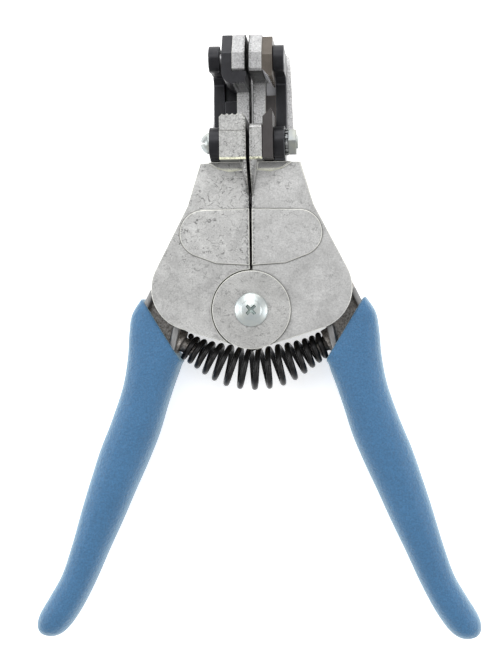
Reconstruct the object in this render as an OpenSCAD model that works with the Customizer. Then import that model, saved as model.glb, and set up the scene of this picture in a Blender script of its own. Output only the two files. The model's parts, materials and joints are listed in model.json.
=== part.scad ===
// Automatic wire stripper, lying on its back with the jaws towards +Y.
// The origin is on the main pivot's axis, at the back plates' outer face.
// Two frame halves swing apart on the main pivot. Each half carries a handle, whose upper end
// draws a sliding jaw down onto the fixed jaw of that half.

/* [Frame halves] */
// Height of the frame's top edge above the main pivot
frame_h = 44.1; // [43.3:0.2:44.9]
// Half width of the frame along its top edge
frame_top_w = 14.9; // [14.2:0.1:15.6]
// Half width of the frame where its side bends
waist_x = 18.9; // [18.4:0.1:19.6]
// Height of that bend
waist_y = 31.4; // [30.6:0.2:32.4]
// Radius of the round lobe over each handle
lobe_r = 12.7; // [12.5:0.1:13.2]
// Lobe centre, out from the middle
lobe_x = 17.5; // [17.3:0.1:18]
// Lobe centre, above the main pivot
lobe_y = 6.5; // [6.2:0.1:7]
// Thickness of the front and back plates
plate_t = 3; // [2.8:0.1:3.4]
// Clear depth between the front and back plates
inside_t = 16; // [15.9:0.1:16.6]
// Width of the slit between the two halves
slit = 0.75; // [0.6:0.05:0.9]
// Thickness of the casting's side and top walls
wall_t = 2; // [1.6:0.1:2.4]
// Height of the raised oval pad on the front
pad_h = 0.5; // [0.4:0.1:1.2]

/* [Main pivot] */
// Radius of the round boss over the pivot
disc_r = 11.76; // [11.4:0.1:12]
// Height of the boss above the front plates
disc_h = 1; // [0.6:0.1:1.6]
// Radius of the pivot bush
bush_r = 3.6; // [3.4:0.1:3.8]
// Radius of the pivot screw's shank
pivot_screw_r = 2.5; // [2.2:0.1:2.7]
// Radius of the pivot screw's head
pivot_head_r = 5.05; // [4.6:0.1:5.6]
// Height of the pivot screw's head
pivot_head_h = 2; // [1.6:0.1:2.6]
// Angle through which the two halves part
swing_deg = 10; // [8:0.5:10]

/* [Fixed jaws] */
// Height of the left fixed jaw above the frame
left_post_h = 13.2; // [12.6:0.1:13.4]
// Width of the left fixed jaw
left_post_w = 7.75; // [7.4:0.05:7.9]
// Height of the right post above the frame
right_post_h = 10.3; // [9.8:0.1:10.8]
// Width of the right post
right_post_w = 3.8; // [3.6:0.05:3.9]
// How far the jaws stand out in front of the frame
jaw_proud = 10; // [9.5:0.1:10.5]
// Height of the lower blade's cutting edge above the frame
lower_blade_h = 14.8; // [14.4:0.1:15]
// Height of the clamp screws above the frame
clamp_y = 5.4; // [5.2:0.1:5.6]
// Radius of the round clamps beside the fixed jaws
clamp_r = 4.7; // [4.5:0.1:4.8]
// Radius of the clamp screw and of the clamp stud
clamp_screw_r = 1.95; // [1.8:0.05:2.1]

/* [Moving jaws] */
// Height of the moving jaws' top edge above the main pivot
head_top = 81; // [80:0.2:82]
// Height of the arms' nose above the main pivot
nose_bottom = 69.7; // [69.4:0.1:70.4]
// Thickness of each arm
arm_t = 3.9; // [3.7:0.05:4]
// Gap between the two arms
arm_gap = 0.9; // [0.8:0.05:1]
// Depth of an arm's spine
spine_d = 9.5; // [9:0.1:9.6]
// Thickness of the blades and of the gripper
blade_t = 2.95; // [2.8:0.05:3]
// Drop of the gripper's face below the nose
grip_drop = 3.8; // [3.5:0.1:4]
// Drop of the upper blade's edge below the nose
blade_drop = 1.7; // [1.5:0.1:1.9]
// Thickness of the side bars
bar_t = 3.3; // [3:0.05:3.4]
// Radius of a side bar's eye
bar_eye_r = 3.9; // [3.8:0.1:4.1]
// Radius of the pin through each nose
jaw_pin_r = 1.6; // [1.4:0.05:1.8]

/* [Handles] */
// Handle pivot, out from the middle
hinge_x = 6.8; // [6.7:0.05:7]
// Handle pivot, above the main pivot
hinge_y = 7; // [6.9:0.05:7.2]
// Radius of the handle's pivot pin
hinge_r = 1.8; // [1.7:0.05:1.9]
// Distance from the handle pivot to the drive pin
crank = 19.6; // [19.4:0.1:19.7]
// Travel of each moving jaw
jaw_travel = 8; // [7.6:0.1:8.2]
// Radius of the drive pin
drive_r = 1.4; // [1.3:0.05:1.5]
// Reach of the handle's tip, out from the middle
handle_reach = 68.5; // [66:0.5:71]
// Reach of the handle's tip, below the main pivot
handle_drop = 100.9; // [98:0.5:104]
// Thickness of the dipped grip
grip_t = 17.2; // [16.6:0.1:18]
// Depth of the handle's ribs
rib_d = 13.6; // [13:0.1:14]
// Width of the handle's ribs
rib_w = 2; // [1.7:0.1:2.2]

/* [Springs] */
// Wire of the handle spring
wire_d = 1.4; // [1.3:0.05:1.5]
// Coil diameter at the spring's ends, across the wire's centres
coil_end_d = 6.6; // [6.4:0.1:6.8]
// Coil diameter at the spring's middle, across the wire's centres
coil_mid_d = 11.3; // [11:0.1:11.5]
// Number of turns
coil_turns = 15; // [14:1:16]
// How far the spring bows down between its seats
spring_sag = 7.3; // [7:0.1:8]
// Wire of the small spring between the halves
draw_wire_d = 0.7; // [0.6:0.05:0.8]

/* [Hidden] */
$fn = 64;

// Clearances and small shared sizes
seat_gap = 0.3;
run_gap = 0.05;
slip_gap = 0.03;
cut = 1;

// Levels up from the back face
front_z = plate_t + inside_t;
face_z = front_z + plate_t;
lug_t = 1.4;
disc_z = front_z + lug_t + seat_gap;
disc_top = face_z + disc_h;
mid_z = plate_t + inside_t / 2;
jaw_front = face_z + jaw_proud;

// Frame outline
slit_x = slit / 2;
foot_x = 3.3;
foot_y = 11.2;
back_eye_r = 6.3;
lug_r = 6.3;
nut_af = 8;
nut_t = 2.2;
nut_recess = nut_t + seat_gap;
boss_r = 2.4;
plate_screw_r = 1.2;
plate_screw_head_r = 2.2;
plate_screw_len = 9;
boss_drop = 6;
waist_boss_drop = 1.8;
boss_places = [[0.7 * frame_top_w, frame_h - boss_drop],
    [0.8 * waist_x, waist_y - waist_boss_drop]];
side_wall_end_share = 0.55;
hinge_boss_r = 3.5;
hinge_boss_t = 4.2;
hinge_pin_sink = 1.4;

// Raised pad, as shares of the waist's width and height
pad_top_share = 0.965;
pad_bottom_share = 0.425;
pad_round_x_share = 0.76;
pad_round_y_share = 0.73;
pad_round_r_share = 0.37;
pad_low_x_share = 0.55;
pad_low_y_share = 0.445;

// Posts, ledge and gussets
post_in = 0.5;
post_rise = 3;
post_back = mid_z + post_rise;
gusset_w = 2;
gusset_h = 10.3;
ledge_w = 12.4;
ledge_drop = 2.6;
ledge_rise = 2.4;
top_wall_t = 2.6;
rail_drop = 14;
post_bevel = 0.9;
shoulder_drop = 5.1;
groove_r = 0.75;
groove_count = 4;
peg_r = 1;
peg_l = 5;
peg_x = 8;

// Layers outwards from the slit: arm, blade, bar
arm_in = arm_gap / 2;
arm_out = arm_in + arm_t;
blade_in = arm_out + 0.1;
blade_out = blade_in + blade_t;
bar_in = blade_out + run_gap;
bar_out = bar_in + bar_t;
left_bar_set = 0.75;
left_bar_in = bar_in + left_bar_set;
left_bar_out = left_bar_in + bar_t;
clamp_depth = 7;
clamp_z = jaw_front - clamp_depth;
clamp_back = 8.8;
left_post_x = post_in + left_post_w;
right_post_x = post_in + right_post_w;
clamp_level = frame_h + clamp_y;
washer_t = 1;
washer_r = 3.9;
clamp_nut_af = 7;
clamp_nut_t = 2.3;
stud_sink = 3;
stud_end = 0.5;

// Blade and gripper forms
blade_len = 17.5;
blade_back = jaw_front - blade_len;
notch_start = 2;
edge_rise = 2.1;
edge_slope = 0.6;
notch_r = [0.45, 0.6, 0.75, 0.9, 1.05, 1.25];
notch_step = 2.7;
brow_h = 6;
brow_d = 4.5;
shelf_t = 3.6;
shelf_round = 3.6;
blade_rest = 0.3;

// Arms
spine_back = plate_t + 1;
spine_front = spine_back + spine_d;
throat_r = 2;
nose_bevel = 0.7;
blade_top_drop = 0.7;
crown_r = 3;
flange_t = 2.4;
flange_clear = 1.2;
flange_low = frame_h + jaw_travel + flange_clear;
flange_drop = 0.4;
flange_top = head_top - flange_drop;
flange_proud = 1;
flange_out = bar_out + flange_proud;
flange_flare = 0.9;
leg_d = 6;
leg_gap = 0.2;
leg_front = spine_back + flange_t + leg_gap + leg_d;
jaw_pin_drop = 6.9;
jaw_pin_y = head_top - jaw_pin_drop;
jaw_pin_depth = 6;
jaw_pin_z = jaw_front - jaw_pin_depth;
right_spacer_drop = 4.4;
left_spacer_drop = 5.9;
jaw_pin_sink = 1.2;

// Crank geometry: the drive pin is level with the handle pivot at half travel
crank_deg = asin(jaw_travel / 2 / crank);
drive_x = hinge_x + crank * cos(crank_deg);
drive_y = hinge_y + jaw_travel / 2;
drive_play = crank * (1 - cos(crank_deg));
fork_t = 3.5;
fork_low = plate_t + 1;
fork_high = front_z - 1;
fork_r = 2.7;
foot_rise = 4.4;
foot_low = hinge_y + jaw_travel + foot_rise;
foot_h = 6.6;
foot_w = 6.4;
elbow_x = 11;
elbow_rise = 2.8;
elbow_y = foot_low + elbow_rise;
web_t = 5.8;
hinge_eye_r = 4;
shoulder_r = 3.1;
pin_end = 0.3;

// Springs
spring_seat_x = 0.3095 * handle_reach;
spring_seat_y = 10.9;
seat_back = wire_d / 2 + 1.5 * seat_gap;
coil_rings = 8;
coil_sides = 6;
seat_flange_t = 1.2;
seat_flange_r = 4.1;
stud_r = coil_end_d / 2 - wire_d / 2 - seat_gap;
stud_l = 4;
draw_turns = 9;
draw_r = 1.6;
draw_hook = 1.9;
draw_half = peg_x - draw_hook;
draw_depth = 2.6;
draw_z = front_z - draw_depth;
// Midway between the arms' feet and the top wall
draw_y = (foot_low + foot_h + frame_h - top_wall_t) / 2;

// Handle outline tables: places across and down, as shares of the handle's reach and drop.
// Each grip row is inner x, inner y, outer x, outer y, then the thickness share and the
// squareness of the section.
grip_shares = [
    [0.327, 0.160, 0.502, -0.035, 0.98, 4.6],
    [0.334, 0.170, 0.545, 0.012, 1.00, 4.0],
    [0.343, 0.190, 0.560, 0.075, 1.00, 3.4],
    [0.362, 0.225, 0.568, 0.140, 1.00, 3.0],
    [0.395, 0.292, 0.592, 0.228, 0.99, 2.7],
    [0.436, 0.382, 0.645, 0.333, 0.98, 2.6],
    [0.489, 0.469, 0.699, 0.423, 0.97, 2.5],
    [0.543, 0.549, 0.743, 0.512, 0.94, 2.5],
    [0.603, 0.641, 0.786, 0.604, 0.90, 2.5],
    [0.666, 0.732, 0.829, 0.704, 0.85, 2.5],
    [0.727, 0.824, 0.880, 0.805, 0.82, 2.5],
    [0.780, 0.895, 0.938, 0.875, 0.82, 2.5],
    [0.826, 0.946, 0.985, 0.928, 0.80, 2.4],
    [0.864, 0.978, 0.999, 0.962, 0.72, 2.3],
    [0.897, 0.994, 0.990, 0.985, 0.52, 2.2],
    [0.925, 1.000, 0.966, 0.997, 0.22, 2.0]];
grip_sides = 24;
tang_rows = [1, 12];
tang_width_share = 0.72;
tang_depth_share = 0.66;
// Outer edge of the handle's neck, from the lobe to inside the grip
neck_out_shares = [[0.428, -0.100], [0.452, -0.066], [0.490, -0.014], [0.532, 0.055]];
// Inner edge of the neck, from the arm down to inside the grip
neck_in_shares = [[0.300, 0.006], [0.324, 0.046], [0.350, 0.125], [0.372, 0.185]];

function at_handle(p) = [p[0] * handle_reach, -p[1] * handle_drop];
function tangent_deg(p, c, r, turn) =
    atan2(p[1] - c[1], p[0] - c[0]) + turn * acos(r / norm(p - c));
function on_circle(c, r, a) = c + r * [cos(a), sin(a)];

module layer(z0, z1) { translate([0, 0, z0]) linear_extrude(z1 - z0) children(); }
// A profile drawn in Y and Z, carried along X
module across(x0, x1) {
    translate([x0, 0, 0]) rotate([90, 0, 90]) linear_extrude(x1 - x0) children();
}
module post(x, y, r, z0, z1) { translate([x, y, z0]) cylinder(h = z1 - z0, r = r); }
module rod(y, z, r, x0, x1) {
    translate([x0, y, z]) rotate([0, 90, 0]) cylinder(h = x1 - x0, r = r);
}
module block(low, high) { translate(low) cube(high - low); }

// Right half's outline; the left half mirrors it
module half_outline() {
    lobe = [lobe_x, lobe_y];
    waist = [waist_x, waist_y];
    foot = [foot_x, -foot_y];
    upper = on_circle(lobe, lobe_r, tangent_deg(waist, lobe, lobe_r, -1));
    lower = on_circle(lobe, lobe_r, tangent_deg(foot, lobe, lobe_r, 1));
    polygon([[slit_x, frame_h], [frame_top_w, frame_h], waist, upper, lobe, lower, foot,
        [slit_x, 0]]);
    translate(lobe) circle(lobe_r);
}

module pad_outline() {
    centre = [pad_round_x_share * waist_x, pad_round_y_share * waist_y];
    r = pad_round_r_share * waist_x;
    low = [pad_low_x_share * waist_x, pad_low_y_share * waist_y];
    turn = tangent_deg(low, centre, r, 1);
    polygon([[slit_x, pad_top_share * waist_y], [centre[0], centre[1] + r], centre,
        on_circle(centre, r, turn), low, [slit_x, pad_bottom_share * waist_y]]);
    translate(centre) circle(r);
}

// Top wall, side wall, screw bosses and handle boss, cast behind a front plate
module casting_inside() {
    block([slit_x, frame_h - top_wall_t, post_back], [frame_top_w, frame_h, front_z]);
    wall_foot = side_wall_end_share * (waist_y - lobe_y) + lobe_y;
    lobe = [lobe_x, lobe_y];
    waist = [waist_x, waist_y];
    edge = on_circle(lobe, lobe_r, tangent_deg(waist, lobe, lobe_r, -1));
    k = (waist_y - wall_foot) / (waist_y - edge[1]);
    low = waist + k * (edge - waist);
    layer(plate_t, front_z)
        polygon([[frame_top_w, frame_h], waist, low, low - [wall_t, 0], waist - [wall_t, 0],
            [frame_top_w - wall_t, frame_h]]);
    for (p = boss_places) post(p[0], p[1], boss_r, plate_t, front_z);
    post(hinge_x, hinge_y, hinge_boss_r, front_z - hinge_boss_t, front_z);
    post(peg_x, draw_y, peg_r, front_z - peg_l, front_z);
}

module casting_holes() {
    for (p = boss_places)
        post(p[0], p[1], plate_screw_r + run_gap, plate_t - cut, plate_t + plate_screw_len);
    post(hinge_x, hinge_y, hinge_r + slip_gap, front_z - hinge_boss_t - cut,
        front_z + hinge_pin_sink);
}

// Ledge and tapered rib that carry a post's overhang
module post_support() {
    intersection() {
        across(slit_x, ledge_w)
            polygon([[frame_h - ledge_drop, face_z - run_gap], [frame_h, face_z - run_gap],
                [frame_h, face_z + ledge_rise]]);
        layer(front_z, jaw_front)
            polygon([[slit_x, frame_h], [ledge_w, frame_h],
                [0.8 * ledge_w, frame_h - 0.6 * ledge_drop],
                [0.5 * ledge_w, frame_h - ledge_drop], [slit_x, frame_h - 0.8 * ledge_drop]]);
    }
    intersection() {
        across(post_in, post_in + gusset_w)
            polygon([[frame_h - gusset_h, face_z - run_gap], [frame_h, face_z - run_gap],
                [frame_h, jaw_front - post_bevel]]);
        layer(front_z, jaw_front)
            polygon([[post_in, frame_h], [post_in + gusset_w, frame_h],
                [post_in, frame_h - gusset_h]]);
    }
}

// Front casting of the right half, with the round pivot boss and the right post
module right_front_plate() {
    color([0.72, 0.72, 0.71]) difference() {
        union() {
            layer(front_z, disc_z) difference() {
                half_outline();
                circle(lug_r + seat_gap);
            }
            layer(disc_z, face_z) half_outline();
            layer(disc_z, disc_top) circle(disc_r);
            layer(face_z - run_gap, face_z + pad_h) pad_outline();
            casting_inside();
            post_support();
            across(post_in, right_post_x)
                polygon([[frame_h - top_wall_t, post_back],
                    [frame_h + right_post_h, post_back],
                    [frame_h + right_post_h, jaw_front - post_bevel],
                    [frame_h + right_post_h - post_bevel, jaw_front],
                    [frame_h, jaw_front], [frame_h, face_z], [frame_h - top_wall_t, face_z]]);
        }
        casting_holes();
        post(0, 0, pivot_screw_r + run_gap, disc_z - cut, disc_top + cut);
        rod(clamp_level, clamp_z, clamp_screw_r, right_post_x - stud_sink,
            right_post_x + cut);
    }
}

// Front casting of the left half, with its lug under the boss and the serrated post
module left_front_plate() {
    post_top = frame_h + left_post_h;
    shoulder_y = post_top - shoulder_drop;
    color([0.72, 0.72, 0.71]) mirror([1, 0, 0]) difference() {
        union() {
            layer(front_z, front_z + lug_t) {
                half_outline();
                circle(lug_r);
            }
            layer(front_z + lug_t, face_z) difference() {
                half_outline();
                circle(disc_r + seat_gap);
            }
            layer(face_z - run_gap, face_z + pad_h) pad_outline();
            casting_inside();
            post_support();
            layer(post_back, jaw_front)
                polygon([[post_in, frame_h], [left_post_x, frame_h],
                    [left_post_x, post_top - post_bevel], [left_post_x - post_bevel, post_top],
                    [post_in + post_bevel, post_top], [post_in, post_top - post_bevel]]);
            block([post_in, frame_h - top_wall_t, post_back],
                [left_post_x, frame_h + run_gap, face_z]);
        }
        casting_holes();
        post(0, 0, bush_r + run_gap, front_z - cut, front_z + lug_t + cut);
        rod(clamp_level, clamp_z, clamp_screw_r, left_post_x - 2 * stud_sink,
            left_post_x + cut);
        for (i = [1:groove_count])
            post(post_in + i * left_post_w / (groove_count + 1), post_top + groove_r / 2,
                groove_r, post_back - cut, jaw_front + cut);
        block([0, shoulder_y, jaw_front - slip_gap * 5], [left_post_x + cut,
            shoulder_y + seat_gap, jaw_front + cut]);
    }
}

module plate_screw_cuts() {
    for (p = boss_places) {
        post(p[0], p[1], plate_screw_r + run_gap, -cut, plate_t + cut);
        translate([p[0], p[1], 0])
            cylinder(h = plate_screw_head_r - plate_screw_r,
                r1 = plate_screw_head_r + run_gap, r2 = plate_screw_r + run_gap);
    }
    post(hinge_x, hinge_y, hinge_r + slip_gap, -cut, plate_t + cut);
}

// Guide rails that the jaw arm's spine slides between
module guide_rail() {
    block([arm_out + seat_gap, frame_h - rail_drop, plate_t - run_gap],
        [arm_out + seat_gap + wall_t / 2, frame_h - top_wall_t, spine_front]);
}

// Flat back plate of the right half, with the eye that holds the pivot nut
module right_back_plate() {
    color([0.66, 0.66, 0.65]) difference() {
        union() {
            layer(0, plate_t) {
                half_outline();
                circle(back_eye_r);
            }
            guide_rail();
        }
        plate_screw_cuts();
        post(0, 0, pivot_screw_r + run_gap, -cut, plate_t + cut);
        translate([0, 0, -cut]) cylinder(h = nut_recess + cut,
            r = (nut_af / 2 + run_gap) / cos(30), $fn = 6);
    }
}

// Flat back plate of the left half, with a stepped lug that runs on the bush
module left_back_plate() {
    lug_z = plate_t + seat_gap;
    lug_half = 0.6 * lug_r;
    color([0.66, 0.66, 0.65]) mirror([1, 0, 0]) difference() {
        union() {
            layer(0, plate_t) difference() {
                half_outline();
                circle(back_eye_r + seat_gap);
            }
            layer(lug_z, lug_z + wall_t) {
                circle(lug_r);
                translate([0, -lug_half]) square([2 * lug_r, 2 * lug_half]);
            }
            block([back_eye_r + 1, -lug_half, plate_t - run_gap],
                [2 * lug_r, lug_half, lug_z + run_gap]);
            guide_rail();
        }
        plate_screw_cuts();
        post(0, 0, bush_r + run_gap, plate_t, front_z);
    }
}

module plate_screws() {
    for (p = boss_places) {
        post(p[0], p[1], plate_screw_r, seat_gap, plate_t + plate_screw_len - seat_gap);
        translate([p[0], p[1], 0]) difference() {
            cylinder(h = plate_screw_head_r - plate_screw_r, r1 = plate_screw_head_r,
                r2 = plate_screw_r);
            for (a = [0, 90]) rotate(a)
                translate([-plate_screw_r, -seat_gap, -cut])
                cube([2 * plate_screw_r, 2 * seat_gap, cut + seat_gap * 2]);
        }
    }
}
module right_plate_screws() { color([0.6, 0.6, 0.62]) plate_screws(); }
module left_plate_screws() { color([0.6, 0.6, 0.62]) mirror([1, 0, 0]) plate_screws(); }

// Domed cross-recess screw through the bush; its cross stands in an X
module pivot_screw() {
    dome_r = (pivot_head_r * pivot_head_r + pivot_head_h * pivot_head_h) / 2 / pivot_head_h;
    arm_w = 0.26 * pivot_head_r;
    arm_l = 0.9 * pivot_head_r;
    color([0.83, 0.84, 0.8]) difference() {
        union() {
            post(0, 0, pivot_screw_r, 0, disc_top + run_gap);
            translate([0, 0, disc_top]) intersection() {
                cylinder(h = pivot_head_h, r = pivot_head_r);
                translate([0, 0, pivot_head_h - dome_r + 0.2 * pivot_head_h])
                    sphere(dome_r * 1.02);
            }
        }
        for (a = [45, 135]) rotate(a)
            translate([-arm_l / 2, -arm_w / 2, disc_top + pivot_head_h / 3])
            cube([arm_l, arm_w, pivot_head_h]);
    }
}

module pivot_bush() {
    color([0.7, 0.6, 0.35]) difference() {
        post(0, 0, bush_r, plate_t, disc_z);
        post(0, 0, pivot_screw_r + slip_gap, plate_t - cut, disc_z + cut);
    }
}

module pivot_nut() {
    color([0.8, 0.8, 0.78]) difference() {
        translate([0, 0, seat_gap / 2])
            cylinder(h = nut_t, r = nut_af / 2 / cos(30), $fn = 6);
        post(0, 0, pivot_screw_r + slip_gap, -cut, nut_t + cut);
    }
}

module handle_pin() { post(hinge_x, hinge_y, hinge_r, pin_end, front_z + hinge_pin_sink); }
module right_handle_pin() { color([0.55, 0.55, 0.57]) handle_pin(); }
module left_handle_pin() { color([0.55, 0.55, 0.57]) mirror([1, 0, 0]) handle_pin(); }

function notch_z(i) = blade_back + notch_start + i * notch_step;

// Lower stripping blade: one bevel up to the edge, and a row of wire notches
module lower_blade() {
    edge_y = frame_h + lower_blade_h;
    base_y = frame_h + blade_rest;
    color([0.33, 0.27, 0.24]) difference() {
        layer(blade_back, jaw_front)
            polygon([[blade_in, base_y], [blade_out, base_y],
                [blade_out, edge_y - edge_rise / 2], [blade_out - slit_x, edge_y],
                [blade_in, edge_y - blade_t + slit_x]]);
        for (i = [0:len(notch_r) - 1])
            rod(edge_y, notch_z(i), notch_r[i], blade_in - cut, blade_out + cut);
        rod(clamp_level, clamp_z, clamp_screw_r + run_gap, blade_in - cut,
            blade_out + cut);
    }
}

// Rounded clamp beside a fixed jaw; its square back keeps it from turning
module clamp_plate(x0, x1) {
    low = frame_h + blade_rest / 2;
    difference() {
        across(x0, x1) {
            translate([clamp_level, clamp_z]) circle(clamp_r);
            polygon([[low, clamp_z - clamp_back], [clamp_level + clamp_r, clamp_z - clamp_back],
                [clamp_level + clamp_r, clamp_z], [low, clamp_z]]);
        }
        rod(clamp_level, clamp_z, clamp_screw_r + run_gap, x0 - cut, x1 + cut);
    }
}
module lower_blade_clamp() { color([0.15, 0.15, 0.17]) clamp_plate(bar_in, bar_out); }
module left_clamp() {
    color([0.15, 0.15, 0.17]) mirror([1, 0, 0])
        clamp_plate(left_post_x, left_post_x + bar_t);
}

module clamp_stud() {
    color([0.75, 0.75, 0.74]) rod(clamp_level, clamp_z, clamp_screw_r,
        right_post_x - stud_sink, bar_out + washer_t + clamp_nut_t + stud_end);
}

// Toothed lock washer
module lock_washer() {
    teeth = 12;
    tooth_w = 0.32 * washer_r;
    color([0.78, 0.78, 0.77]) difference() {
        rod(clamp_level, clamp_z, washer_r, bar_out, bar_out + washer_t);
        rod(clamp_level, clamp_z, clamp_screw_r + run_gap, bar_out - cut,
            bar_out + washer_t + cut);
        for (i = [0:teeth - 1])
            translate([bar_out - cut, clamp_level, clamp_z]) rotate([i * 360 / teeth, 0, 0])
            translate([0, -tooth_w / 2, washer_r * 0.82])
            cube([washer_t + 2 * cut, tooth_w, washer_r]);
    }
}

module clamp_nut() {
    x0 = bar_out + washer_t;
    color([0.8, 0.8, 0.79]) difference() {
        translate([x0, clamp_level, clamp_z]) rotate([0, 90, 0])
            cylinder(h = clamp_nut_t, r = clamp_nut_af / 2 / cos(30), $fn = 6);
        rod(clamp_level, clamp_z, clamp_screw_r + slip_gap, x0 - cut,
            x0 + clamp_nut_t + cut);
    }
}

// Domed screw that holds the left clamp
module left_clamp_screw() {
    head_r = 1.65 * clamp_screw_r;
    head_h = 1.4 * clamp_screw_r;
    dome_r = (head_r * head_r + head_h * head_h) / 2 / head_h;
    x0 = left_post_x + bar_t;
    slot_w = 0.4 * clamp_screw_r;
    color([0.82, 0.83, 0.8]) mirror([1, 0, 0]) difference() {
        union() {
            rod(clamp_level, clamp_z, clamp_screw_r, left_post_x - 2 * stud_sink + seat_gap,
                x0 + run_gap);
            intersection() {
                rod(clamp_level, clamp_z, head_r, x0, x0 + head_h);
                translate([x0 + 1.03 * head_h - dome_r, clamp_level, clamp_z])
                    rotate([0, 90, 0]) sphere(dome_r * 1.02);
            }
        }
        block([x0 + head_h / 2, clamp_level - slot_w / 2, clamp_z - head_r],
            [x0 + head_h + cut, clamp_level + slot_w / 2, clamp_z + head_r]);
    }
}

// A tube's rings about the points of a coil. Each place gives the wire's centre; the ring lies
// across the line to the next place, turned to the coil's own radius.
function coil_ring(p, along, out, d) =
    let (t = along / norm(along), side = cross(t, out), s = side / norm(side), o = cross(s, t))
    [for (k = [0:coil_sides - 1])
        p + d / 2 * (cos(k * 360 / coil_sides) * o + sin(k * 360 / coil_sides) * s)];

// Spring axis: a cosine bow between the seats, u from -1 at the left to 1 at the right
function bow(u) = [u * spring_seat_x, -spring_seat_y - spring_sag * cos(90 * u), mid_z];
function bow_dir(u) =
    let (d = [spring_seat_x, spring_sag * sin(90 * u) * PI / 2, 0]) d / norm(d);
function ease(t) = let (c = max(0, min(1, t))) c * c * (3 - 2 * c);
function coil_r(u) =
    (coil_end_d + (coil_mid_d - coil_end_d) * ease((1 - abs(u)) / 0.7)) / 2;
// The turns lie closer at both ends
coil_crowd = 0.33;
function coil_u(t) = 2 * (t - coil_crowd * sin(360 * t) / (2 * PI)) - 1;
function coil_out(u, a) =
    let (d = bow_dir(u)) cos(a) * [-d[1], d[0], 0] - sin(a) * [0, 0, 1];
function coil_at(t) =
    let (u = coil_u(t), a = 360 * coil_turns * t) bow(u) + coil_r(u) * coil_out(u, a);
function draw_at(t) =
    let (a = 360 * draw_turns * t)
    [draw_half * (2 * t - 1), draw_y + draw_r * cos(a), draw_z + draw_r * sin(a)];

coil_n = coil_turns * coil_rings;
coil_points = [for (i = [0:coil_n]) coil_at(i / coil_n)];
coil_outs = [for (i = [0:coil_n])
    coil_out(coil_u(i / coil_n), 360 * coil_turns * i / coil_n)];
draw_n = draw_turns * coil_rings;
draw_points = [for (i = [0:draw_n]) draw_at(i / draw_n)];
draw_outs = [for (i = [0:draw_n]) let (a = 360 * draw_turns * i / draw_n)
    [0, cos(a), sin(a)]];

function least_gap(points, d) = min([for (i = [0:len(points) - 1])
    for (j = [i + coil_rings - 2:1:min(i + 2 * coil_rings, len(points) - 1)])
    norm(points[i] - points[j]) - d]);
echo(handle_spring_least_gap = least_gap(coil_points, wire_d));
echo(halves_spring_least_gap = least_gap(draw_points, draw_wire_d));

// One unbroken tube, whose two ends run straight for one wire diameter
module wire(points, outs, d) {
    n = len(points);
    first = points[1] - points[0];
    last = points[n - 1] - points[n - 2];
    lead = points[0] - d * first / norm(first);
    tail = points[n - 1] + d * last / norm(last);
    rings = concat([coil_ring(lead, first, outs[0], d)],
        [for (i = [0:n - 1])
            coil_ring(points[i], points[min(i + 1, n - 1)] - points[max(i - 1, 0)],
                outs[i], d)],
        [coil_ring(tail, last, outs[n - 1], d)]);
    tube(rings);
}

// Skins a list of closed rings with triangles and closes both ends
module tube(rings) {
    n = len(rings);
    m = len(rings[0]);
    points = [for (r = rings) for (p = r) p];
    sides = [for (i = [0:n - 2]) for (k = [0:m - 1])
        let (a = i * m + k, b = i * m + (k + 1) % m)
        each [[a, b, b + m], [a, b + m, a + m]]];
    ends = [for (k = [1:m - 2])
        each [[0, k + 1, k], [(n - 1) * m, (n - 1) * m + k, (n - 1) * m + k + 1]]];
    polyhedron(points, [for (f = concat(sides, ends)) [f[0], f[2], f[1]]]);
}

module handle_spring() { color([0.09, 0.09, 0.1]) wire(coil_points, coil_outs, wire_d); }
module halves_spring() { color([0.5, 0.5, 0.52]) wire(draw_points, draw_outs, draw_wire_d); }

// Sliding jaw arm: nose, spine and rear flange above the frame, forked foot inside it
module jaw_arm() {
    chamfer = 0.4 * throat_r;
    difference() {
        union() {
            across(arm_in, arm_out)
                polygon([[nose_bottom, jaw_front - nose_bevel],
                    [nose_bottom + nose_bevel, jaw_front], [head_top - brow_h, jaw_front],
                    [head_top, jaw_front - brow_d], [head_top, spine_back + crown_r],
                    [head_top - crown_r, spine_back], [foot_low, spine_back],
                    [foot_low, spine_front], [nose_bottom - chamfer, spine_front],
                    [nose_bottom, spine_front + chamfer]]);
            layer(spine_back, spine_back + flange_t)
                polygon([[arm_out - run_gap, flange_low],
                    [flange_out + flange_flare, flange_low],
                    [flange_out, flange_top - crown_r], [flange_out - crown_r, flange_top],
                    [arm_out - run_gap, flange_top]]);
            fork();
        }
        rod(jaw_pin_y, jaw_pin_z, jaw_pin_r + slip_gap, jaw_pin_sink, arm_out + cut);
    }
}

// Two cheeks either side of the handle's web, each with a square slot for the drive pin
module fork() {
    slot = drive_r + run_gap;
    eye_x = drive_x + drive_play / 2;
    difference() {
        union() {
            block([arm_in, foot_low, fork_low], [foot_w, foot_low + foot_h, fork_high]);
            for (z = [fork_low, fork_high - fork_t]) layer(z, z + fork_t) {
                polygon([[arm_in, foot_low], [elbow_x, foot_low],
                    [eye_x, drive_y - 0.9 * fork_r], [eye_x, drive_y + 0.8 * fork_r],
                    [elbow_x, elbow_y + fork_r], [foot_w, foot_low + foot_h],
                    [arm_in, foot_low + foot_h]]);
                translate([eye_x, drive_y]) circle(fork_r);
            }
        }
        block([drive_x - slot, drive_y - slot, fork_low - cut],
            [drive_x + drive_play + slot, drive_y + slot, fork_high + cut]);
    }
}
module right_jaw_arm() { color([0.74, 0.74, 0.74]) jaw_arm(); }
module left_jaw_arm() { color([0.74, 0.74, 0.74]) mirror([1, 0, 0]) jaw_arm(); }

// Side view shared by the upper blade and the gripper's leaf
module leaf_profile(low_front, low_back, top) {
    polygon([[low_front, jaw_front], [top - brow_h, jaw_front], [top, jaw_front - brow_d],
        [top, blade_back], [low_back, blade_back]]);
}

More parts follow.
